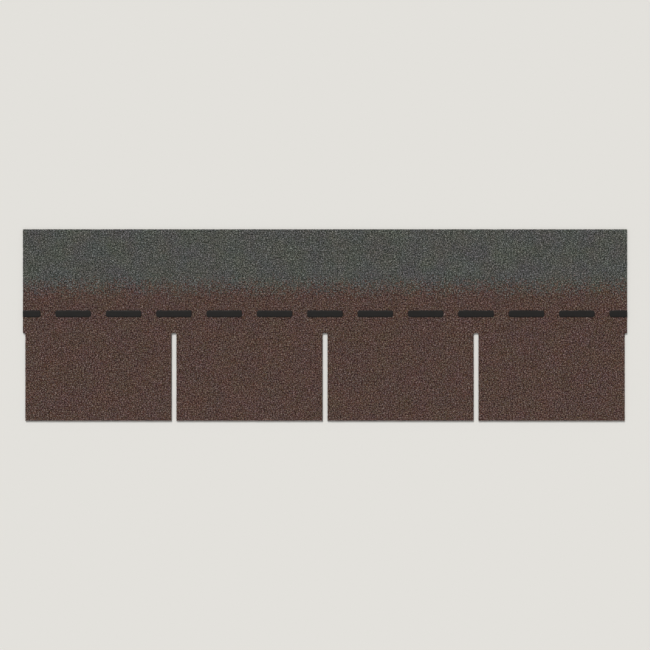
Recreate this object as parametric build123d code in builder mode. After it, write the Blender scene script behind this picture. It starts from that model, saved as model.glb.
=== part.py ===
"""Asphalt strip shingle with four square-cut tabs, lying flat with its weather side up.

The strip is one piece, die-cut from a continuous sheet of coated glass mat.
Cut-outs divide its lower part into tabs. A half-width cut-out at each end makes
a whole one where two strips butt together, so a course reads as evenly slotted.
Dashes of heat-activated sealant lie across the headlap, and they bond the tabs
of the next course. A gap in the dashed line falls at the middle of each tab,
because that is where the next course's cut-outs leave the strip uncovered.

Sizes are in millimetres. X runs along the strip, +Y from the tabs' butt edge up
the roof slope, and +Z out of the roof. The origin is the centre of the strip's
length and depth, on its underside.
"""

import os

from build123d import *

# Sheet
sheet_thickness = 3.0  # coated mat with its granules pressed in
strip_depth = 317.0  # from the butt edge to the top edge

# Tabs and the cut-outs between them
tab_count = 4
tab_pitch = 250.0  # one tab and one cut-out
exposure = 145.0  # what a laid course leaves showing, and so the cut-outs' depth
cutout_width = 8.0
cutout_corner_radius = 2.0  # left by the die at a cut-out's closed end

# Sealant dashes
dashes_per_tab = 3
dash_gap = 24.0
dash_width = 12.0
dash_thickness = 0.6
dash_corner_radius = 4.0
dash_shoulder = 0.4  # the hot bead slumps to a sloping shoulder
sealant_rise = 26.0  # from the cut-outs' closed ends to the dashes' lower side

# Where things fall on the sheet
strip_length = tab_count * tab_pitch
butt_edge_y = -strip_depth / 2
cutout_end_y = butt_edge_y + exposure
dash_pitch = tab_pitch / dashes_per_tab
dash_count = tab_count * dashes_per_tab + 1  # the two end ones are halved by the cut
dash_length = dash_pitch - dash_gap
sealant_y = cutout_end_y + sealant_rise + dash_width / 2

with BuildPart() as shingle_strip:
    with BuildSketch() as strip_outline:
        Rectangle(strip_length, strip_depth)
        with Locations((0, cutout_end_y)):
            with GridLocations(tab_pitch, strip_depth, tab_count + 1, 1):
                Rectangle(
                    cutout_width,
                    exposure,
                    align=(Align.CENTER, Align.MAX),
                    mode=Mode.SUBTRACT,
                )
        closed_end_corners = (
            strip_outline.vertices()
            .filter_by_position(Axis.Y, butt_edge_y, strip_depth / 2, inclusive=(False, False))
            .filter_by_position(Axis.X, -strip_length / 2, strip_length / 2, inclusive=(False, False))
        )
        fillet(closed_end_corners, radius=cutout_corner_radius)
    extrude(amount=sheet_thickness)

with BuildPart() as sealant_dashes:
    with BuildSketch(Plane.XY.offset(sheet_thickness)):
        with Locations((0, sealant_y)):
            with GridLocations(dash_pitch, strip_depth, dash_count, 1):
                RectangleRounded(dash_length, dash_width, dash_corner_radius)
        Rectangle(strip_length, strip_depth, mode=Mode.INTERSECT)
    extrude(amount=dash_thickness)
    shoulders = (
        sealant_dashes.edges()
        .group_by(Axis.Z)[-1]
        .filter_by_position(Axis.X, -strip_length / 2, strip_length / 2, inclusive=(False, False))
    )
    chamfer(shoulders, length=dash_shoulder)

shingle_strip.part.label = "shingle_strip"
sealant_dashes.part.label = "sealant_dashes"

os.makedirs("parts", exist_ok=True)
export_step(shingle_strip.part, "parts/shingle_strip.step")
export_step(sealant_dashes.part, "parts/sealant_dashes.step")
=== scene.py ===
"""Asphalt strip shingle: the looks of the sheet and its sealant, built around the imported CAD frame.

Everything is in metres in the frame of the part. The strip lies on its back, its length along X,
its tabs towards -Y and its weather side up.
"""

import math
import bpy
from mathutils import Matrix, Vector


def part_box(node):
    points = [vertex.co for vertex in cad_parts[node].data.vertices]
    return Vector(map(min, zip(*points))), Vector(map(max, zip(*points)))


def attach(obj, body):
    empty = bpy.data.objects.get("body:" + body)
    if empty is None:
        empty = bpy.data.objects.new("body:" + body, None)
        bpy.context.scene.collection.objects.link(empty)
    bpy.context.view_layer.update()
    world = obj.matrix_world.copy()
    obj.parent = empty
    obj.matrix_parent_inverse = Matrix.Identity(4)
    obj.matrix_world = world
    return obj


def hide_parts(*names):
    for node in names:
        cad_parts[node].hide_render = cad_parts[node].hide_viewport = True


bl_info = {
    "name": "Asphalt Strip Shingle",
    "version": (1, 0, 0),
    "blender": (4, 5, 0),
    "location": "3D View > Sidebar > Shingle",
    "description": "Dresses the CAD frame of a strip shingle in rock granules and sealant",
    "category": "Object",
}

import bpy
import numpy as np
from bpy.props import (
    CollectionProperty,
    FloatProperty,
    FloatVectorProperty,
    IntProperty,
    PointerProperty,
    StringProperty,
)
from bpy.types import Operator, Panel, PropertyGroup

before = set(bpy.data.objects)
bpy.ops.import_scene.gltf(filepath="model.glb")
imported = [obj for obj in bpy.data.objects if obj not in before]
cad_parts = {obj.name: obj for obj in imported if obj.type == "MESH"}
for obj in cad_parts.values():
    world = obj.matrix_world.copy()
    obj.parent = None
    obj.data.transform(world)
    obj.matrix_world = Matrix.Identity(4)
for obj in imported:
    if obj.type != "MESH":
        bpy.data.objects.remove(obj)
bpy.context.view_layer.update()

MM = 0.001
NEAR = 0.01 * MM  # places closer than this count as one
BODY = "root"
STRIP_NODE = "shingle_strip"
DASH_NODE = "sealant_dashes"
BAKE_MAP = "OFBake"

# Granule blends: a name, its colour and its share. Shares of a blend add up to one.
WEATHER_BLEND = (
    ("Black", "#1D0605", 0.18),
    ("Dark umber", "#381B12", 0.20),
    ("Umber", "#543A30", 0.16),
    ("Russet", "#664539", 0.09),
    ("Plum grey", "#634848", 0.08),
    ("Olive", "#655341", 0.06),
    ("Taupe", "#816D65", 0.18),
    ("Tan", "#98847E", 0.05),
)
HEADLAP_BLEND = (
    ("Black", "#1A1D18", 0.17),
    ("Slate", "#383B36", 0.21),
    ("Grey green", "#505450", 0.23),
    ("Olive grey", "#616058", 0.09),
    ("Stone grey", "#747473", 0.21),
    ("Pale grey", "#90918E", 0.09),
)


def linear(hex_code):
    """An sRGB hex colour as linear red, green and blue, with an alpha of one."""
    channels = []
    for start in (1, 3, 5):
        value = int(hex_code[start : start + 2], 16) / 255
        channels.append(value / 12.92 if value <= 0.04045 else ((value + 0.055) / 1.055) ** 2.4)
    return (*channels, 1.0)


# What the CAD says


def cad_points(node):
    """A CAD node's points as rows of x, y and z."""
    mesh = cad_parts[node].data
    points = np.empty(len(mesh.vertices) * 3, np.float32)
    mesh.vertices.foreach_get("co", points)
    return points.reshape(-1, 3).astype(float)


def runs_along_x(node):
    """Where a CAD node's separate solids start and end along X."""
    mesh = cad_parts[node].data
    spans = sorted(
        (min(xs), max(xs))
        for xs in ([mesh.vertices[v].co.x for v in face.vertices] for face in mesh.polygons)
    )
    runs = [list(spans[0])]
    for start, end in spans:
        if start > runs[-1][1] + NEAR:
            runs.append([start, end])
        runs[-1][1] = max(runs[-1][1], end)
    return runs


(LEFT, BUTT, BACK), (RIGHT, TOP_EDGE, FACE) = (tuple(corner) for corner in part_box(STRIP_NODE))
strip_points = cad_points(STRIP_NODE)
CUTOUT_END = float(strip_points[strip_points[:, 0] < LEFT + NEAR, 1].min())
# The tabs' sides, to the hundredth of a millimetre, are where the butt edge has its corners.
TAB_SIDES = np.unique(strip_points[strip_points[:, 1] < BUTT + NEAR, 0].round(5)).tolist()
TABS = list(zip(TAB_SIDES[::2], TAB_SIDES[1::2]))
CUTOUT_WIDTH = TABS[1][0] - TABS[0][1]
TAB_PITCH = TABS[1][0] - TABS[0][0]
along_cutout = strip_points[np.abs(strip_points[:, 0] - TABS[0][1]) < NEAR, 1]
CORNER_RADIUS = CUTOUT_END - float(along_cutout.max())
DASHES = runs_along_x(DASH_NODE)
(_, DASH_LOW_Y, _), (_, DASH_HIGH_Y, DASH_TOP) = (tuple(corner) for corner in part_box(DASH_NODE))


# Settings


class SHINGLE_PG_granule_kind(PropertyGroup):
    """One kind of granule in a blend."""

    name: StringProperty(
        name="Kind", description="What this kind of granule looks like", default="Granule"
    )
    colour: FloatVectorProperty(
        name="Colour",
        description="Colour of the ceramic coat",
        subtype="COLOR",
        size=4,
        min=0,
        max=1,
        default=linear("#5C4B43"),
    )
    share: FloatProperty(
        name="Share",
        description="Part of the blend that is this kind",
        subtype="FACTOR",
        min=0,
        max=1,
        default=0.1,
    )


class SHINGLE_PG_granules(PropertyGroup):
    """The crushed rock pressed into the weather side."""

    spacing: FloatProperty(
        name="Spacing",
        description="Mean distance between neighbouring granules",
        unit="LENGTH",
        default=1.282 * MM,
        min=0.5 * MM,
    )
    twist: FloatProperty(
        name="Twist",
        description="How far neighbouring granules turn opposite ways, so that they lie in no rows",
        unit="LENGTH",
        default=0.12 * MM,
        min=0,
    )
    scatter: FloatProperty(
        name="Scatter",
        description="How far a granule's corners stray from an even layout",
        unit="LENGTH",
        default=0.3 * MM,
        min=0,
    )
    crowding: FloatProperty(
        name="Crowding",
        description="How far patches of granules are squeezed or spread",
        unit="LENGTH",
        default=0.8 * MM,
        min=0,
    )
    patch: IntProperty(
        name="Patch",
        description="Number of granules from one squeezed patch to the next",
        default=4,
        min=2,
    )
    lean: FloatProperty(
        name="Lean",
        description="How far a granule's peak leans from its middle towards its corners",
        subtype="FACTOR",
        default=0.9,
        min=0,
        max=1,
    )
    relief: FloatProperty(
        name="Relief",
        description="Height of a granule above the bitumen around it",
        unit="LENGTH",
        default=0.55 * MM,
        min=0,
    )
    unevenness: FloatProperty(
        name="Unevenness",
        description="How much granules differ in height",
        unit="LENGTH",
        default=0.09 * MM,
        min=0,
    )
    tone: FloatProperty(
        name="Tone",
        description="How much granules of one kind differ in brightness",
        subtype="FACTOR",
        default=0.1,
        min=0,
        max=1,
    )
    headlap_start: FloatProperty(
        name="Headlap Start",
        description="Height above the butt edge at which headlap granules begin to mix in",
        unit="LENGTH",
        default=197 * MM,
    )
    headlap_full: FloatProperty(
        name="Headlap Full",
        description="Height above the butt edge from which all are headlap granules",
        unit="LENGTH",
        default=245 * MM,
    )
    seed: IntProperty(name="Seed", description="Picks one random layout", default=7, min=0)
    weather_blend: CollectionProperty(
        name="Weather Blend",
        description="Kinds of granule on the tabs and just above them",
        type=SHINGLE_PG_granule_kind,
    )
    headlap_blend: CollectionProperty(
        name="Headlap Blend",
        description="Kinds of granule towards the top edge, which the next course covers",
        type=SHINGLE_PG_granule_kind,
    )


class SHINGLE_PG_sheet(PropertyGroup):
    """The bitumen-coated glass mat under the granules."""

    mat_height: FloatProperty(
        name="Mat Height",
        description="Height of the glass mat's middle above the underside",
        unit="LENGTH",
        default=1.35 * MM,
    )
    mat_thickness: FloatProperty(
        name="Mat Thickness",
        description="Thickness of the glass mat as it shows in the cut",
        unit="LENGTH",
        default=0.56 * MM,
        min=0,
    )
    ragged: FloatProperty(
        name="Ragged Cut",
        description="How far the die-cut edge wanders in and out",
        unit="LENGTH",
        default=0.12 * MM,
    )
    bitumen: FloatVectorProperty(
        name="Bitumen",
        description="Colour of the coating where it is cut or shows between granules",
        subtype="COLOR",
        size=4,
        min=0,
        max=1,
        default=linear("#1F1C1A"),
    )


class SHINGLE_PG_sealant(PropertyGroup):
    """The dashes of heat-activated sealant."""

    rim_height: FloatProperty(
        name="Rim Height",
        description="Height above the underside at which a dash meets the granules",
        unit="LENGTH",
        default=2.72 * MM,
    )
    corner: FloatProperty(
        name="Corner",
        description="Radius of a dash's corners, seen from above",
        unit="LENGTH",
        default=4 * MM,
    )
    shoulder: FloatProperty(
        name="Shoulder",
        description="Width over which a dash rounds up from its rim",
        unit="LENGTH",
        default=2.4 * MM,
    )
    wander: FloatProperty(
        name="Wander",
        description="How far a dash's outline strays from straight",
        unit="LENGTH",
        default=0.55 * MM,
    )
    imprint: FloatProperty(
        name="Imprint",
        description="How far the granules beneath a dash lift or sink its skin",
        unit="LENGTH",
        default=0.09 * MM,
    )
    seed: IntProperty(
        name="Seed", description="Picks the random forms of the dashes", default=100, min=0
    )
    colour: FloatVectorProperty(
        name="Colour",
        description="Colour of the sealant",
        subtype="COLOR",
        size=4,
        min=0,
        max=1,
        default=linear("#0D0C0B"),
    )


class SHINGLE_PG_studio(PropertyGroup):
    """Floor, lamps and camera."""

    floor_colour: FloatVectorProperty(
        name="Floor Colour",
        description="Colour of the floor and of what lies beyond it",
        subtype="COLOR",
        size=4,
        min=0,
        max=1,
        default=linear("#E3E1DC"),
    )
    floor_reach: FloatProperty(
        name="Floor Reach",
        description="Distance from the strip to the floor's edges",
        unit="LENGTH",
        default=40,
        min=1,
    )
    floor_gap: FloatProperty(
        name="Floor Gap",
        description="How far the floor lies below the strip, so that the two faces don't flicker",
        unit="LENGTH",
        default=0.2 * MM,
        min=0,
    )
    key_height: FloatProperty(
        name="Key Height",
        description="Angle of the key lamp above the floor",
        subtype="ANGLE",
        default=math.radians(42),
    )
    key_turn: FloatProperty(
        name="Key Turn",
        description="Angle of the key lamp from straight up the slope towards the left end",
        subtype="ANGLE",
        default=math.radians(18),
    )
    key_width: FloatProperty(
        name="Key Width",
        description="Angle that the key lamp fills, seen from the strip",
        subtype="ANGLE",
        default=math.radians(16),
    )
    fill_share: FloatProperty(
        name="Fill Share",
        description="Part of the light on the floor that comes evenly from all round",
        subtype="FACTOR",
        default=0.46,
        min=0,
        max=1,
    )
    strip_share: FloatProperty(
        name="Strip Share",
        description="Part of the picture's width that the strip takes",
        subtype="FACTOR",
        default=0.93,
        min=0.1,
        max=1,
    )
    lens: FloatProperty(
        name="Lens",
        description="Focal length of the camera",
        unit="CAMERA",
        default=85,
        min=1,
    )


class SHINGLE_PG_settings(PropertyGroup):
    """Everything that the panel shows."""

    sheet: PointerProperty(
        name="Sheet", description="Sizes and colour of the coated mat", type=SHINGLE_PG_sheet
    )
    granules: PointerProperty(
        name="Granules", description="Sizes, layout and blends", type=SHINGLE_PG_granules
    )
    sealant: PointerProperty(
        name="Sealant", description="Sizes and colour of the dashes", type=SHINGLE_PG_sealant
    )
    studio: PointerProperty(
        name="Studio", description="Floor, light and camera", type=SHINGLE_PG_studio
    )


# Materials

# Sockets of a Mix node that mixes colours. It has others of the same names, so they go by number.
MIX_FACTOR, MIX_FIRST, MIX_SECOND, MIX_RESULT = 0, 6, 7, 2


def add_node(tree, kind, inputs=None, **settings):
    """Adds a node, gives it its settings, and fills its inputs from values or other nodes' sockets.

    An input is named, or given by number where others of the node share its name.
    """
    node = tree.nodes.new(kind)
    for name, value in settings.items():
        setattr(node, name, value)
    for name, value in (inputs or {}).items():
        if isinstance(value, bpy.types.NodeSocket):
            tree.links.new(value, node.inputs[name])
        else:
            node.inputs[name].default_value = value
    return node


def new_material(name):
    """An empty material's node tree and its Principled shader, joined to the output."""
    material = bpy.data.materials.new(name)
    material.use_nodes = True
    tree = material.node_tree
    tree.nodes.clear()
    shader = add_node(tree, "ShaderNodeBsdfPrincipled")
    add_node(tree, "ShaderNodeOutputMaterial", {"Surface": shader.outputs["BSDF"]})
    return material, tree, shader


def finish(tree, shader, colour, roughness, bump, ior):
    """Gives a shader its colour, roughness and bump from the nodes that make them, and its IOR."""
    tree.links.new(colour.outputs[MIX_RESULT], shader.inputs["Base Color"])
    tree.links.new(roughness.outputs["Result"], shader.inputs["Roughness"])
    tree.links.new(bump.outputs["Normal"], shader.inputs["Normal"])
    shader.inputs["IOR"].default_value = ior


def set_stops(ramp_node, stops, interpolation="LINEAR"):
    """Gives a colour ramp its stops, as pairs of place and linear colour."""
    ramp = ramp_node.color_ramp
    ramp.interpolation = interpolation
    while len(ramp.elements) < len(stops):
        ramp.elements.new(1.0)
    for element, (place, colour) in zip(ramp.elements, stops):
        element.position = place
        element.color = colour


def blend_stops(kinds):
    """Stops that turn an even random number from 0 to 1 into a kind's colour by its share."""
    places = np.cumsum([0.0] + [kind.share for kind in kinds][:-1])
    return [(float(place), tuple(kind.colour)) for place, kind in zip(places, kinds)]


def kind_colours(tree, granules, pick, headlap):
    """The colour of each granule's kind, picked by share from the blend that it comes from."""
    ramps = []
    for blend in (granules.weather_blend, granules.headlap_blend):
        ramps.append(add_node(tree, "ShaderNodeValToRGB", {"Fac": pick}))
        set_stops(ramps[-1], blend_stops(blend), "CONSTANT")
    weather_kinds, headlap_kinds = (ramp.outputs["Color"] for ramp in ramps)
    kind = add_node(
        tree,
        "ShaderNodeMix",
        {MIX_FACTOR: headlap, MIX_FIRST: weather_kinds, MIX_SECOND: headlap_kinds},
        data_type="RGBA",
    )
    return kind.outputs[MIX_RESULT]


def hopper_drifts(tree, place):
    """A tint of faint drifts, some 35 mm across, since redder and bluer granules fall unevenly."""
    drift = add_node(
        tree, "ShaderNodeTexNoise", {"Vector": place, "Scale": 1 / (35 * MM), "Detail": 2.0}
    )
    drift_apart = add_node(tree, "ShaderNodeSeparateColor", {"Color": drift.outputs["Color"]})
    tints = []
    for channel, one_side, other_side in (
        ("Red", "#FFF9FC", "#F9FFFB"),
        ("Blue", "#FFFFF6", "#FAFAFF"),
    ):
        tints.append(add_node(tree, "ShaderNodeValToRGB", {"Fac": drift_apart.outputs[channel]}))
        set_stops(tints[-1], [(0.35, linear(one_side)), (0.65, linear(other_side))])
    both = add_node(
        tree,
        "ShaderNodeMix",
        {
            MIX_FACTOR: 1.0,
            MIX_FIRST: tints[0].outputs["Color"],
            MIX_SECOND: tints[1].outputs["Color"],
        },
        data_type="RGBA",
        blend_type="MULTIPLY",
    )
    return both.outputs[MIX_RESULT]


def ceramic_coated_rock(settings):
    """Crushed rock, coloured by a fired ceramic coat and pressed into hot bitumen.

    The coat is matte and takes each chip's own facets, so the eye sees a peppering of tones rather
    than a colour, with black bitumen in the seams between chips.
    """
    material, tree, shader = new_material("ceramic_coated_crushed_rock")
    place = add_node(tree, "ShaderNodeTexCoord").outputs["Object"]
    pick, tone, headlap, rim = (
        add_node(tree, "ShaderNodeAttribute", attribute_name=name).outputs["Fac"]
        for name in ("granule_pick", "granule_tone", "headlap_granule", "granule_rim")
    )
    # Crystals in the rock, 0.45 mm across, mottle each chip a little.
    crystals = add_node(
        tree, "ShaderNodeTexNoise", {"Vector": place, "Scale": 1 / (0.45 * MM), "Detail": 3.0}
    )
    mottle = add_node(
        tree,
        "ShaderNodeMapRange",
        {"Value": crystals.outputs["Fac"], "From Min": 0.3, "From Max": 0.7, "To Min": 0.9, "To Max": 1.1},
    )
    brightness = add_node(
        tree, "ShaderNodeMath", {0: tone, 1: mottle.outputs["Result"]}, operation="MULTIPLY"
    )
    kind = kind_colours(tree, settings.granules, pick, headlap)
    toned = add_node(
        tree, "ShaderNodeHueSaturation", {"Value": brightness.outputs["Value"], "Color": kind}
    )
    drifted = add_node(
        tree,
        "ShaderNodeMix",
        {
            MIX_FACTOR: 1.0,
            MIX_FIRST: toned.outputs["Color"],
            MIX_SECOND: hopper_drifts(tree, place),
        },
        data_type="RGBA",
        blend_type="MULTIPLY",
    )
    # Bitumen stands in the seams, up the lowest seventh of a chip's slope.
    seam = add_node(
        tree,
        "ShaderNodeMapRange",
        {"Value": rim, "From Min": 0.86, "From Max": 0.97},
        interpolation_type="SMOOTHSTEP",
    )
    seen = add_node(
        tree,
        "ShaderNodeMix",
        {
            MIX_FACTOR: seam.outputs["Result"],
            MIX_FIRST: drifted.outputs[MIX_RESULT],
            MIX_SECOND: tuple(settings.sheet.bitumen),
        },
        data_type="RGBA",
    )
    roughness = add_node(tree, "ShaderNodeMapRange", {"Value": pick, "To Min": 0.7, "To Max": 0.92})
    pits = add_node(
        tree,
        "ShaderNodeBump",
        {"Height": crystals.outputs["Fac"], "Strength": 0.35, "Distance": 0.08 * MM},
    )
    finish(tree, shader, seen, roughness, pits, ior=1.52)
    # Half of a chip's shine is lost in the seams and pits around it.
    shader.inputs["Specular IOR Level"].default_value = 0.25
    return material


def die_cut_bitumen(settings):
    """Filled bitumen coating with the glass mat in its middle, sheared by the cutting die.

    The cut is a dull near-black with a paler frayed line along it, where glass fibres end.
    """
    material, tree, shader = new_material("die_cut_filled_bitumen")
    sheet = settings.sheet
    place = add_node(tree, "ShaderNodeTexCoord").outputs["Object"]
    height = add_node(tree, "ShaderNodeSeparateXYZ", {"Vector": place}).outputs["Z"]
    # Bundles of fibre end every 1.2 mm or so and lift the line by a few tenths.
    fray = add_node(
        tree, "ShaderNodeTexNoise", {"Vector": place, "Scale": 1 / (1.2 * MM), "Detail": 4.0}
    ).outputs["Fac"]
    wander = add_node(
        tree, "ShaderNodeMapRange", {"Value": fray, "To Min": -0.45 * MM, "To Max": 0.45 * MM}
    ).outputs["Result"]
    frayed = add_node(tree, "ShaderNodeMath", {0: height, 1: wander}, operation="ADD")
    in_mat = add_node(
        tree,
        "ShaderNodeMath",
        {0: frayed.outputs["Value"], 1: sheet.mat_height, 2: sheet.mat_thickness / 2},
        operation="COMPARE",
    )
    mat_line = add_node(
        tree, "ShaderNodeMath", {0: in_mat.outputs["Value"], 1: fray}, operation="MULTIPLY"
    )
    seen = add_node(
        tree,
        "ShaderNodeMix",
        {
            MIX_FACTOR: mat_line.outputs["Value"],
            MIX_FIRST: tuple(sheet.bitumen),
            MIX_SECOND: linear("#6B6257"),
        },
        data_type="RGBA",
    )
    roughness = add_node(tree, "ShaderNodeMapRange", {"Value": fray, "To Min": 0.45, "To Max": 0.8})
    torn = add_node(
        tree, "ShaderNodeBump", {"Height": fray, "Strength": 0.6, "Distance": 0.25 * MM}
    )
    finish(tree, shader, seen, roughness, torn, ior=1.55)
    return material


def sanded_bitumen(settings):
    """The underside: bitumen dusted with fine sand while hot, so that strips don't stick in the pack.

    It looks like worn emery cloth, charcoal with a fine pale speck. The sand is 0.3 mm and is drawn
    0.8 mm across, because finer specks would blur to a plain grey.
    """
    material, tree, shader = new_material("sand_dusted_bitumen")
    place = add_node(tree, "ShaderNodeTexCoord").outputs["Object"]
    sand = add_node(tree, "ShaderNodeTexVoronoi", {"Vector": place, "Scale": 1 / (0.8 * MM)})
    pick = add_node(tree, "ShaderNodeSeparateColor", {"Color": sand.outputs["Color"]})
    specks = add_node(tree, "ShaderNodeValToRGB", {"Fac": pick.outputs["Red"]})
    set_stops(
        specks,
        [
            (0.0, linear("#2A2725")),
            (0.45, linear("#3A3633")),
            (0.75, linear("#4C4741")),
            (0.92, linear("#6E675C")),
        ],
        "CONSTANT",
    )
    # The sand lies thin in patches about 60 mm across, and there the bitumen shows through.
    bare = add_node(
        tree, "ShaderNodeTexNoise", {"Vector": place, "Scale": 1 / (60 * MM), "Detail": 3.0}
    )
    cover = add_node(
        tree,
        "ShaderNodeMapRange",
        {"Value": bare.outputs["Fac"], "From Min": 0.35, "From Max": 0.6, "To Min": 0.45},
    )
    seen = add_node(
        tree,
        "ShaderNodeMix",
        {
            MIX_FACTOR: cover.outputs["Result"],
            MIX_FIRST: tuple(settings.sheet.bitumen),
            MIX_SECOND: specks.outputs["Color"],
        },
        data_type="RGBA",
    )
    gritty = add_node(
        tree,
        "ShaderNodeBump",
        {"Height": sand.outputs["Distance"], "Strength": 0.5, "Distance": 0.2 * MM},
        invert=True,
    )
    roughness = add_node(
        tree, "ShaderNodeMapRange", {"Value": cover.outputs["Result"], "To Min": 0.6, "To Max": 0.9}
    )
    finish(tree, shader, seen, roughness, gritty, ior=1.52)
    return material


def hot_laid_sealant(settings):
    """Polymer-modified bitumen, laid hot and left to skin over.

    It is the one smooth thing on the strip: black, with a dull and uneven sheen.
    """
    material, tree, shader = new_material("hot_laid_polymer_bitumen")
    place = add_node(tree, "ShaderNodeTexCoord").outputs["Object"]
    # The skin ripples every 3 mm, where it has drawn down over the granules.
    skin = add_node(
        tree, "ShaderNodeTexNoise", {"Vector": place, "Scale": 1 / (3 * MM), "Detail": 3.0}
    ).outputs["Fac"]
    # Granule dust settles in patches about 14 mm across, which are paler and duller.
    dust = add_node(
        tree, "ShaderNodeTexNoise", {"Vector": place, "Scale": 1 / (14 * MM), "Detail": 4.0}
    ).outputs["Fac"]
    roughness = add_node(
        tree,
        "ShaderNodeMapRange",
        {"Value": dust, "From Min": 0.35, "From Max": 0.65, "To Min": 0.5, "To Max": 0.7},
    )
    seen = add_node(
        tree,
        "ShaderNodeMix",
        {
            MIX_FACTOR: dust,
            MIX_FIRST: tuple(settings.sealant.colour),
            MIX_SECOND: linear("#181615"),
        },
        data_type="RGBA",
    )
    ripple = add_node(
        tree, "ShaderNodeBump", {"Height": skin, "Strength": 0.8, "Distance": 0.3 * MM}
    )
    finish(tree, shader, seen, roughness, ripple, ior=1.55)
    # The skin is wrinkled finer than the eye sees, which takes most of the shine.
    shader.inputs["Specular IOR Level"].default_value = 0.18
    return material


def painted_floor(settings):
    """Matt white-painted studio floor, plain and pale."""
    material, _, shader = new_material("matt_painted_floor")
    shader.inputs["Base Color"].default_value = tuple(settings.studio.floor_colour)
    shader.inputs["Roughness"].default_value = 0.9
    shader.inputs["Specular IOR Level"].default_value = 0.0
    return material


# Shapes


def places_between(borders, step):
    """Places at nearly even steps that meet each border exactly."""
    places = [borders[0]]
    for start, end in zip(borders, borders[1:]):
        count = max(1, round((end - start) / step))
        places.extend(start + (end - start) * np.arange(1, count + 1) / count)
    return np.array(places)


def soft_noise(rng, rows, columns, reach):
    """Random numbers from -1 to 1 that change smoothly over about reach rows and columns."""
    coarse = rng.uniform(-1, 1, (rows // reach + 2, columns // reach + 2))
    down = np.arange(rows) / reach
    along = np.arange(columns) / reach
    half = np.array([np.interp(down, np.arange(len(coarse)), line) for line in coarse.T]).T
    return np.array([np.interp(along, np.arange(coarse.shape[1]), line) for line in half])


def well_mixed(rng, rows, columns):
    """Random numbers from 0 to 1 that every square of four neighbours shares out evenly."""
    down, along = rows // 2 + 1, columns // 2 + 1
    quarters = rng.permuted(np.tile(np.arange(4), (down * along, 1)), axis=1)
    quarters = quarters.reshape(down, along, 2, 2).transpose(0, 2, 1, 3)
    quarters = quarters.reshape(2 * down, 2 * along)[:rows, :columns]
    return (quarters + rng.random((rows, columns))) / 4


def into_corners(x, y):
    """The middle of the cut-out nearest to each point, and how far the point lies from the centre that
    the nearer corner of the cut-out's closed end is rounded about: out, up and in all.
    """
    slot = TAB_PITCH * np.round(x / TAB_PITCH)
    out = np.abs(x - slot) - (CUTOUT_WIDTH / 2 - CORNER_RADIUS)
    up = y - (CUTOUT_END - CORNER_RADIUS)
    return slot, out, up, np.hypot(out, up)


def onto_corner_arcs(x, y, chosen):
    """Moves the chosen points onto the rounding of their cut-out's closed end."""
    slot, out, up, away = into_corners(x, y)
    pull = np.where(chosen, CORNER_RADIUS / np.maximum(away, NEAR), 1)
    out = CUTOUT_WIDTH / 2 - CORNER_RADIUS + out * pull
    up = CUTOUT_END - CORNER_RADIUS + up * pull
    return np.where(chosen, slot + np.where(x < slot, -out, out), x), np.where(chosen, up, y)


def keep_on_sheet(x, y):
    """Moves points that strayed past a cut edge back to it."""
    x, y = np.clip(x, LEFT, RIGHT), np.clip(y, BUTT, TOP_EDGE)
    slot, out, up, away = into_corners(x, y)
    in_slot = (out < CORNER_RADIUS) & (up < CORNER_RADIUS)
    by_corner = in_slot & (out > 0) & (up > 0)
    by_side = in_slot & ~by_corner & (out > up)
    by_end = in_slot & ~by_corner & ~by_side
    x, y = onto_corner_arcs(x, y, by_corner & (away < CORNER_RADIUS))
    x = np.where(by_side, slot + np.where(x < slot, -1, 1) * CUTOUT_WIDTH / 2, x)
    return x, np.where(by_end, CUTOUT_END, y)


def fan(rings, tips):
    """Triangles from each ring of corners up to its tip."""
    after = np.roll(rings, -1, axis=1)
    tips = np.broadcast_to(tips[:, None], rings.shape)
    return np.stack([rings, after, tips], axis=2).reshape(-1, 3)


def rim_loop(faces):
    """The corners along the open rim of some faces, in the faces' own direction."""
    starts = faces.ravel()
    ends = np.roll(faces, -1, axis=1).ravel()
    size = int(faces.max()) + 1
    open_edge = ~np.isin(starts * size + ends, ends * size + starts)
    follow = dict(zip(starts[open_edge].tolist(), ends[open_edge].tolist()))
    corner = min(follow)
    loop = [corner]
    while follow[loop[-1]] != corner:
        loop.append(follow[loop[-1]])
    if len(loop) != len(follow):
        raise RuntimeError("an open top has more than one rim")
    return np.array(loop)


def outward_along(rim):
    """Which way is out of the mesh at each point of a rim, seen from above.

    It is taken across some points each way, so that ragged corners don't sway it.
    """
    each_way = 3
    ahead, behind = np.roll(rim, -each_way, axis=0), np.roll(rim, each_way, axis=0)
    around = ahead[:, :2] - behind[:, :2]
    outward = np.stack([around[:, 1], -around[:, 0]], axis=1)
    outward /= np.linalg.norm(outward, axis=1)[:, None]
    return outward


def add_walls(points, faces, levels, strays, rng, keep):
    """Walls down from an open top's rim, through the levels: all points, the walls and the last loop.

    Strays says how far the wall under each point may wander from it. With them comes where every
    point lies when the walls are folded outwards, flat.
    """
    upper = loop = rim_loop(faces)
    rim = points[loop]
    outward = outward_along(rim)
    all_points, flat, walls, count = [points], [points[:, :2]], [], len(points)
    for level in levels:
        x, y = (rim[:, :2] + rng.uniform(-1, 1, (len(loop), 2)) * strays[loop, None]).T
        x, y = keep(x, y)
        all_points.append(np.stack([x, y, np.full(len(loop), level)], axis=1))
        flat.append(rim[:, :2] + outward * (rim[:, 2].mean() - level))
        lower = np.arange(count, count + len(loop))
        walls.append(np.stack([upper, lower, np.roll(lower, -1), np.roll(upper, -1)], axis=1))
        upper, count = lower, count + len(loop)
    return np.concatenate(all_points), np.concatenate(walls), upper, np.concatenate(flat)


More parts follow.
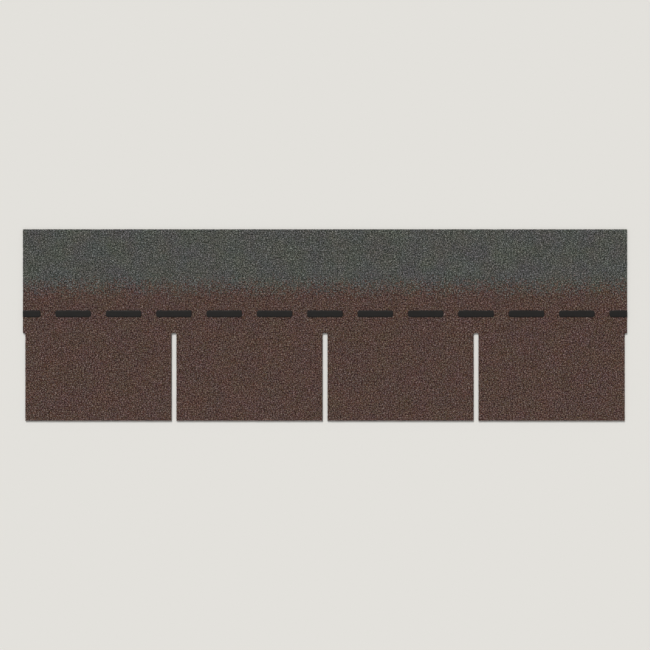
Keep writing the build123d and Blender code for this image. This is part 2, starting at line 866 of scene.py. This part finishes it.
def bake_layout(flat, corners, underside):
    """Places on the bake map: the folded-out top and walls, and the underside shrunk in beside them."""
    low, high = flat.min(axis=0), flat.max(axis=0)
    gap = 0.01  # of the map's width
    unit = (1 - 2 * gap) / (high - low).max()
    folded = gap + (flat - low) * unit
    used = (high - low) * unit + gap
    short = int(used[1] < used[0])
    shrink = min(1.0, (1 - used[short] - 2 * gap) / (used[short] - gap))
    beside = np.full(2, gap)
    beside[short] = used[short] + gap
    under = beside + (flat[underside] - low) * unit * shrink
    return np.concatenate([folded[corners[: -len(underside)]], under])


def closed_piece(name, points, faces, levels, strays, rng, materials, keep=lambda x, y: (x, y)):
    """A closed mesh from an open top, with walls down through the levels and a flat underside.

    The top gets the first material, the walls the second and the underside the last.
    """
    all_points, walls, last, flat = add_walls(points, faces, levels, strays, rng, keep)
    underside = last[::-1]
    corners = np.concatenate([faces.ravel(), walls.ravel(), underside])
    counts = [len(faces), len(walls), 1]
    sizes = np.repeat([faces.shape[1], 4, len(underside)], counts)
    mesh = bpy.data.meshes.new(name)
    mesh.vertices.add(len(all_points))
    mesh.vertices.foreach_set("co", all_points.astype(np.float32).ravel())
    mesh.loops.add(len(corners))
    mesh.loops.foreach_set("vertex_index", corners.astype(np.int32))
    mesh.polygons.add(len(sizes))
    mesh.polygons.foreach_set("loop_start", (np.cumsum(sizes) - sizes).astype(np.int32))
    for material in materials:
        mesh.materials.append(material)
    last_slot = len(materials) - 1
    slots = np.repeat([0, min(1, last_slot), last_slot], counts)
    mesh.polygons.foreach_set("material_index", slots.astype(np.int32))
    bake_map = mesh.uv_layers.new(name=BAKE_MAP)
    layout = bake_layout(flat, corners, underside)
    bake_map.data.foreach_set("uv", layout.astype(np.float32).ravel())
    mesh.update(calc_edges=True)
    if mesh.validate(clean_customdata=False):
        raise RuntimeError(f"{name} came out with faults in its mesh")
    piece = bpy.data.objects.new(name, mesh)
    bpy.context.scene.collection.objects.link(piece)
    return piece


def store(piece, name, domain, values):
    """Keeps numbers on a piece's mesh for its material to read. Faces past the values get none."""
    attribute = piece.data.attributes.new(name, "FLOAT", domain)
    numbers = np.zeros(len(attribute.data), np.float32)
    numbers[: len(values)] = values
    attribute.data.foreach_set("value", numbers)


def strewn_corners(granules, rng, across, up):
    """Corners where granules meet: a square lattice, turned cell by cell, crowded and strewn about.

    Corners by a cut edge are moved less, and none past it. With the corners comes which of them are
    at a cut edge.
    """
    even_x, even_y = np.meshgrid(across, up)
    _, out, above, _ = into_corners(even_x, even_y)
    slot_gap = np.hypot(np.clip(out - CORNER_RADIUS, 0, None), np.clip(above - CORNER_RADIUS, 0, None))
    inside = np.minimum.reduce([slot_gap, even_y - BUTT, TOP_EDGE - even_y, RIGHT - np.abs(even_x)])
    free = np.clip(inside / (2 * granules.spacing), 0, 1)
    crowd = granules.crowding * free
    x, y = onto_corner_arcs(even_x, even_y, (slot_gap < NEAR) & (out > 0) & (above > 0))
    x = x + granules.twist * free * np.where(np.arange(len(up)) % 2, -1, 1)[:, None]
    y = y + granules.twist * free * np.where(np.arange(len(across)) % 2, -1, 1)
    for strewn in (x, y):
        strewn += crowd * soft_noise(rng, *strewn.shape, granules.patch)
        strewn += granules.scatter * rng.uniform(-1, 1, strewn.shape)
    x, y = keep_on_sheet(x, y)
    seat = FACE - granules.relief + rng.uniform(-1, 1, x.shape) * granules.unevenness
    return np.stack([x, y, seat], axis=2).reshape(-1, 3), (inside < NEAR).ravel()


def granule_peaks(granules, rng, corners, rings):
    """Peaks of the granules, each leaning from the middle of its ring of corners.

    Most stand a little below the sheet's face, where the rollers pressed them.
    """
    lean = 1 + granules.lean * rng.uniform(-1, 1, rings.shape)
    peaks = (corners[rings] * lean[:, :, None]).sum(axis=1) / lean.sum(axis=1)[:, None]
    deepest, proudest = -3, 1.3
    height = np.clip(rng.normal(-1, 1, len(rings)), deepest, proudest)
    peaks[:, 2] = FACE + height * granules.unevenness
    return peaks


def granule_looks(granules, rng, peaks, filled):
    """What the material reads of each granule: its pick from a blend, its tone, and which blend."""
    pick = well_mixed(rng, *filled.shape)[filled]
    tone = np.exp(rng.normal(0, granules.tone, len(peaks)))
    mixed = (peaks[:, 1] - BUTT - granules.headlap_start) / (
        granules.headlap_full - granules.headlap_start
    )
    mixed = np.clip(mixed, 0, 1)
    headlap = rng.random(len(peaks)) < mixed * mixed * (3 - 2 * mixed)
    return {"granule_pick": pick, "granule_tone": tone, "headlap_granule": headlap}


def build_strip(settings):
    """The strip in one piece a tab, each with the headlap above it, over a shared layout of granules."""
    granules, sheet = settings.granules, settings.sheet
    rng = np.random.default_rng(granules.seed)
    across = places_between([LEFT, *TAB_SIDES, RIGHT], granules.spacing)
    up = places_between([BUTT, CUTOUT_END, TOP_EDGE], granules.spacing)
    corners, cut_edge = strewn_corners(granules, rng, across, up)

    # Every cell of the lattice that isn't in a cut-out holds one granule.
    middle_x, middle_y = np.meshgrid((across[:-1] + across[1:]) / 2, (up[:-1] + up[1:]) / 2)
    _, out, above, _ = into_corners(middle_x, middle_y)
    filled = (out > CORNER_RADIUS) | (above > CORNER_RADIUS)
    row, column = np.nonzero(filled)
    lattice_width = len(across)
    rings = (row * lattice_width + column)[:, None] + [0, 1, lattice_width + 1, lattice_width]
    tab_of = ((middle_x[filled] - LEFT) // TAB_PITCH).astype(int)
    peaks = granule_peaks(granules, rng, corners, rings)
    looks = granule_looks(granules, rng, peaks, filled)

    materials = [ceramic_coated_rock(settings), die_cut_bitumen(settings), sanded_bitumen(settings)]
    pieces = []
    for tab in range(len(TABS)):
        mine = tab_of == tab
        used, index = np.unique(rings[mine], return_inverse=True)
        faces = fan(index.reshape(-1, 4), len(used) + np.arange(mine.sum()))
        piece = closed_piece(
            f"tab_and_headlap_{tab + 1}",
            np.concatenate([corners[used], peaks[mine]]),
            faces,
            [sheet.mat_height, BACK],
            np.concatenate([cut_edge[used] * sheet.ragged, np.zeros(mine.sum())]),
            rng,
            materials,
            keep_on_sheet,
        )
        for name, values in looks.items():
            store(piece, name, "FACE", np.repeat(values[mine], 4))
        store(piece, "granule_rim", "POINT", np.ones(len(used)))
        piece.data.shade_flat()
        pieces.append(piece)
    return pieces


def dash_top(rng, start, end, sealant):
    """Rows and columns of points over the top of one dash, a low rounded bead."""
    cut_left, cut_right = start < LEFT + NEAR, end > RIGHT - NEAR
    middle = start if cut_left else end if cut_right else (start + end) / 2
    half_length = max(end - middle, middle - start)
    half_width = (DASH_HIGH_Y - DASH_LOW_Y) / 2

    # Lines along and across the dash, about half a millimetre apart and closer towards its rim.
    rows, steps_in_half = 23, 60
    columns = 1 + steps_in_half * (1 if cut_left or cut_right else 2)
    step = half_length / steps_in_half
    turn = np.linspace(0 if cut_left else -1, 0 if cut_right else 1, columns) * math.pi / 2
    along = np.sin(turn) * half_length
    side = np.sin(np.linspace(-1, 1, rows) * math.pi / 2)[:, None]

    # The outline strays in waves of about 7 mm, and half as far in waves of 1.5 mm.
    long_waves = soft_noise(rng, 2, columns, round(7 * MM / step))
    waves = long_waves + 0.5 * soft_noise(rng, 2, columns, round(1.5 * MM / step))
    past_corner = np.clip(np.abs(along) - (half_length - sealant.corner), 0, sealant.corner)
    reach = half_width - sealant.corner + np.sqrt(sealant.corner**2 - past_corner**2)
    reach_low, reach_high = reach - np.abs(waves) * sealant.wander
    x = np.broadcast_to(middle + along, (rows, columns))
    y = (DASH_LOW_Y + DASH_HIGH_Y) / 2 + np.where(side < 0, reach_low, reach_high) * side

    # The bead rounds up from its rim, and swells and sinks every 5 mm or so, by a part of its height.
    from_end = np.clip((half_length - np.abs(along)) / sealant.shoulder, 0, 1)
    from_side = np.clip((1 - np.abs(side)) * reach / sealant.shoulder, 0, 1)
    dome = np.sqrt(1 - (1 - from_end) ** 2) * np.sqrt(1 - (1 - from_side) ** 2)
    swell = 0.08
    height = 1 - swell + swell * soft_noise(rng, rows, columns, round(5 * MM / step))
    # Grit under the skin draws it down further than it lifts it.
    imprint = rng.uniform(-1, 0.2, (rows, columns)) * sealant.imprint
    z = sealant.rim_height + (DASH_TOP - sealant.rim_height) * dome * height + imprint
    return np.stack([x, y, np.minimum(z, DASH_TOP)], axis=2)


def build_dash(number, start, end, settings, material):
    """One dash of sealant, low enough at its rim for the granules there to poke through."""
    rng = np.random.default_rng(settings.sealant.seed + number)
    points = dash_top(rng, start, end, settings.sealant)
    rows, columns, _ = points.shape
    points = points.reshape(-1, 3)
    corners = np.arange(rows * columns).reshape(rows, columns)
    ring = [corners[:-1, :-1], corners[:-1, 1:], corners[1:, 1:], corners[1:, :-1]]
    faces = np.stack(ring, axis=2).reshape(-1, 4)
    foot = FACE - settings.granules.relief
    name = f"sealant_dash_{number:02d}"
    piece = closed_piece(name, points, faces, [foot], np.zeros(len(points)), rng, [material])
    polygons = piece.data.polygons
    polygons.foreach_set("use_smooth", np.arange(len(polygons)) < len(faces))
    return piece


# Studio


def lay_floor(settings):
    """A square of floor just under the strip."""
    reach, gap = settings.studio.floor_reach, settings.studio.floor_gap
    mesh = bpy.data.meshes.new("floor")
    mesh.from_pydata(
        [(-reach, -reach, -gap), (reach, -reach, -gap), (reach, reach, -gap), (-reach, reach, -gap)],
        [],
        [(0, 1, 2, 3)],
    )
    mesh.materials.append(painted_floor(settings))
    floor = bpy.data.objects.new("floor", mesh)
    bpy.context.scene.collection.objects.link(floor)


def hang_key_lamp(studio):
    """One broad soft lamp that gives the floor what the light from all round leaves to it."""
    key_share = 1 - studio.fill_share
    lamp = bpy.data.lights.new("key", "SUN")
    lamp.energy = math.pi * key_share / math.sin(studio.key_height)
    lamp.angle = studio.key_width
    key = bpy.data.objects.new("key", lamp)
    key.rotation_euler = (studio.key_height - math.pi / 2, 0, studio.key_turn)
    bpy.context.scene.collection.objects.link(key)


def light_all_round(studio):
    """Even light from the world. The camera and anything glossy see the floor's colour there."""
    world = bpy.data.worlds.new("studio")
    world.use_nodes = True
    tree = world.node_tree
    tree.nodes.clear()
    ray = add_node(tree, "ShaderNodeLightPath")
    seen = add_node(
        tree,
        "ShaderNodeMath",
        {0: ray.outputs["Is Camera Ray"], 1: ray.outputs["Is Glossy Ray"]},
        operation="MAXIMUM",
    )
    seen = add_node(
        tree,
        "ShaderNodeMath",
        {0: seen.outputs["Value"], 1: ray.outputs["Is Transmission Ray"]},
        operation="MAXIMUM",
    )
    fill = add_node(
        tree,
        "ShaderNodeBackground",
        {"Color": (1.0, 1.0, 1.0, 1.0), "Strength": studio.fill_share},
    )
    backdrop = add_node(
        tree, "ShaderNodeBackground", {"Color": tuple(studio.floor_colour), "Strength": 1.0}
    )
    mixed = add_node(
        tree,
        "ShaderNodeMixShader",
        {0: seen.outputs["Value"], 1: fill.outputs["Background"], 2: backdrop.outputs["Background"]},
    )
    add_node(tree, "ShaderNodeOutputWorld", {"Surface": mixed.outputs["Shader"]})
    bpy.context.scene.world = world


def aim_camera(studio):
    """The camera, straight above the middle of the strip and as far off as its lens needs."""
    optics = bpy.data.cameras.new("camera")
    optics.lens = studio.lens
    half_view = (RIGHT - LEFT) / 2 / studio.strip_share
    distance = half_view / (optics.sensor_width / 2 / studio.lens)
    optics.clip_end = 5 * studio.floor_reach
    camera = bpy.data.objects.new("camera", optics)
    camera.location = ((LEFT + RIGHT) / 2, (BUTT + TOP_EDGE) / 2, FACE + distance)
    bpy.context.scene.collection.objects.link(camera)
    bpy.context.scene.camera = camera


# Operators


class SHINGLE_OT_strip(Operator):
    """Build the strip, tab by tab, from granules to sanded back"""

    bl_idname = "shingle.strip"
    bl_label = "Granulated Strip"

    def execute(self, context):
        for piece in build_strip(context.scene.shingle):
            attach(piece, BODY)
            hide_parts(STRIP_NODE)
        return {"FINISHED"}


class SHINGLE_OT_sealant(Operator):
    """Lay the dashes of sealant across the headlap"""

    bl_idname = "shingle.sealant"
    bl_label = "Sealant Dashes"

    def execute(self, context):
        settings = context.scene.shingle
        material = hot_laid_sealant(settings)
        for number, (start, end) in enumerate(DASHES, 1):
            piece = build_dash(number, start, end, settings, material)
            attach(piece, BODY)
            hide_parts(DASH_NODE)
        return {"FINISHED"}


class SHINGLE_OT_studio(Operator):
    """Set up the floor, the lamps and the camera"""

    bl_idname = "shingle.studio"
    bl_label = "Studio"

    def execute(self, context):
        settings = context.scene.shingle
        lay_floor(settings)
        hang_key_lamp(settings.studio)
        light_all_round(settings.studio)
        aim_camera(settings.studio)
        context.scene.view_settings.view_transform = "Standard"
        return {"FINISHED"}


class SHINGLE_PT_panel(Panel):
    """Sizes and colours of the shingle, and the steps that build it"""

    bl_idname = "SHINGLE_PT_panel"
    bl_label = "Strip Shingle"
    bl_space_type = "VIEW_3D"
    bl_region_type = "UI"
    bl_category = "Shingle"

    def draw(self, context):
        settings = context.scene.shingle
        for title, group, operator in (
            ("Sheet", settings.sheet, None),
            ("Granules", settings.granules, SHINGLE_OT_strip),
            ("Sealant", settings.sealant, SHINGLE_OT_sealant),
            ("Studio", settings.studio, SHINGLE_OT_studio),
        ):
            box = self.layout.box()
            box.label(text=title)
            for name in group.__annotations__:
                if not name.endswith("_blend"):
                    box.prop(group, name)
            if operator:
                box.operator(operator.bl_idname)
        for title, blend in (
            ("Weather Blend", settings.granules.weather_blend),
            ("Headlap Blend", settings.granules.headlap_blend),
        ):
            box = self.layout.box()
            box.label(text=title)
            for kind in blend:
                row = box.row()
                row.label(text=kind.name)
                row.prop(kind, "colour", text="")
                row.prop(kind, "share", text="")


CLASSES = (
    SHINGLE_PG_granule_kind,
    SHINGLE_PG_granules,
    SHINGLE_PG_sheet,
    SHINGLE_PG_sealant,
    SHINGLE_PG_studio,
    SHINGLE_PG_settings,
    SHINGLE_OT_strip,
    SHINGLE_OT_sealant,
    SHINGLE_OT_studio,
    SHINGLE_PT_panel,
)


def register():
    for cls in CLASSES:
        bpy.utils.register_class(cls)
    bpy.types.Scene.shingle = PointerProperty(
        name="Strip Shingle", description="Sizes and colours of the shingle", type=SHINGLE_PG_settings
    )


def unregister():
    del bpy.types.Scene.shingle
    for cls in reversed(CLASSES):
        bpy.utils.unregister_class(cls)


def fill_blend(blend, kinds):
    """Fills a blend's list from a table of names, colours and shares."""
    blend.clear()
    for name, hex_code, share in kinds:
        kind = blend.add()
        kind.name, kind.colour, kind.share = name, linear(hex_code), share


def main():
    register()
    granules = bpy.context.scene.shingle.granules
    fill_blend(granules.weather_blend, WEATHER_BLEND)
    fill_blend(granules.headlap_blend, HEADLAP_BLEND)
    bpy.ops.shingle.strip()
    bpy.ops.shingle.sealant()
    bpy.ops.shingle.studio()


if __name__ == "__main__":
    main()
